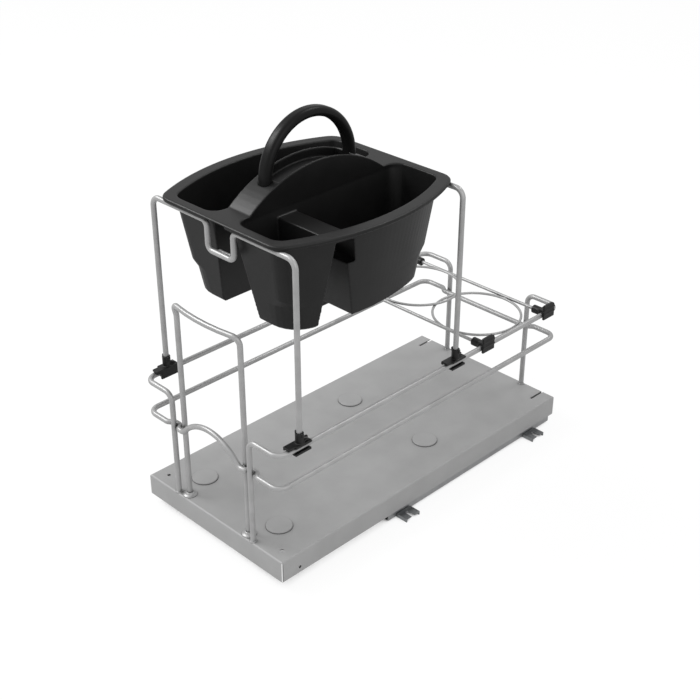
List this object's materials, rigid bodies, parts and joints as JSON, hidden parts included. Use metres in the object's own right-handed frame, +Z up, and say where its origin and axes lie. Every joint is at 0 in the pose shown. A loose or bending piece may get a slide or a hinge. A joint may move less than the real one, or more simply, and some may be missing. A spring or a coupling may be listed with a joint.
{
  "type": "under sink organizer",
  "caption": "Sliding steel tray with wire rails and a pull handle, a divided lift-out caddy on two wire supports, and a ring holder for bottles.",
  "frame": {"origin": "middle of the object's footprint, on the floor under the brackets", "axes": "+X to the right seen from the front, +Y to the back, +Z up; the tray pulls out along -Y"},
  "size_m": [0.2446, 0.4555, 0.4559],
  "materials": {
    "tray_finish": "satin silver-grey coat",
    "wire_finish": "satin silver-grey coat",
    "slide_steel": "zinc plated",
    "ball_steel": "polished",
    "clip_plastic": "fine grain black",
    "stop_plastic": "black",
    "caddy_plastic": "fine grain dark grey",
    "grip_plastic": "smooth black"
  },
  "bodies": {
    "base": {"fixed_slide_left": "slide_steel", "fixed_slide_right": "slide_steel", "slide_end_stops": "stop_plastic", "bracket_rivets": "slide_steel", "floor_bracket_front_left": "tray_finish", "floor_bracket_front_right": "tray_finish", "floor_bracket_rear_left": "tray_finish", "floor_bracket_rear_right": "tray_finish"},
    "slide_middles": {"middle_slide_left": "slide_steel", "middle_slide_right": "slide_steel"},
    "outer_cages": {"outer_cage_left": "slide_steel", "outer_cage_right": "slide_steel", "outer_balls": "ball_steel"},
    "inner_cages": {"inner_cage_left": "slide_steel", "inner_cage_right": "slide_steel", "inner_balls": "ball_steel"},
    "tray": {"tray_pan": "tray_finish", "tray_slide_left": "slide_steel", "tray_slide_right": "slide_steel", "upper_rail_left": "wire_finish", "upper_rail_right": "wire_finish", "lower_rail": "wire_finish", "pull_handle": "wire_finish", "handle_collars": "wire_finish"},
    "front_support": {"front_support_wire": "wire_finish", "notch_clip_wire": "wire_finish", "front_clip_left": "clip_plastic", "front_clip_right": "clip_plastic"},
    "rear_support": {"rear_support_wire": "wire_finish", "rear_clip_left": "clip_plastic", "rear_clip_right": "clip_plastic"},
    "bottle_holder": {"cross_wire_front": "wire_finish", "cross_wire_rear": "wire_finish", "bottle_ring_left": "wire_finish", "bottle_ring_right": "wire_finish", "holder_clip_front_left": "clip_plastic", "holder_clip_front_right": "clip_plastic", "holder_clip_rear_left": "clip_plastic", "holder_clip_rear_right": "clip_plastic"},
    "caddy": {"caddy_tub": "caddy_plastic", "caddy_grip": "grip_plastic"}
  },
  "joints": [
    {"name": "tray_slide", "type": "slide", "parent": "base", "child": "tray", "axis": [0, -1, 0], "range_m": [0, 0.27]},
    {"name": "middle_slide", "type": "slide", "parent": "base", "child": "slide_middles", "axis": [0, -1, 0], "range_m": [0, 0.135]},
    {"name": "outer_cage_roll", "type": "slide", "parent": "base", "child": "outer_cages", "axis": [0, -1, 0], "range_m": [0, 0.0675]},
    {"name": "inner_cage_roll", "type": "slide", "parent": "base", "child": "inner_cages", "axis": [0, -1, 0], "range_m": [0, 0.2025]},
    {"name": "front_support_slide", "type": "slide", "parent": "tray", "child": "front_support", "axis": [0, 1, 0], "range_m": [0, 0.01]},
    {"name": "rear_support_slide", "type": "slide", "parent": "tray", "child": "rear_support", "axis": [0, 1, 0], "range_m": [0, 0.01]},
    {"name": "holder_slide", "type": "slide", "parent": "tray", "child": "bottle_holder", "axis": [0, -1, 0], "range_m": [0, 0.01]},
    {"name": "caddy_lift", "type": "slide", "parent": "front_support", "child": "caddy", "axis": [0, 0, 1], "range_m": [0, 0.11]}
  ],
  "couplings": [
    {"joint": "middle_slide", "follows": "tray_slide", "ratio": 0.5},
    {"joint": "outer_cage_roll", "follows": "tray_slide", "ratio": 0.25},
    {"joint": "inner_cage_roll", "follows": "tray_slide", "ratio": 0.75},
    {"joint": "rear_support_slide", "follows": "front_support_slide", "ratio": 1}
  ]
}
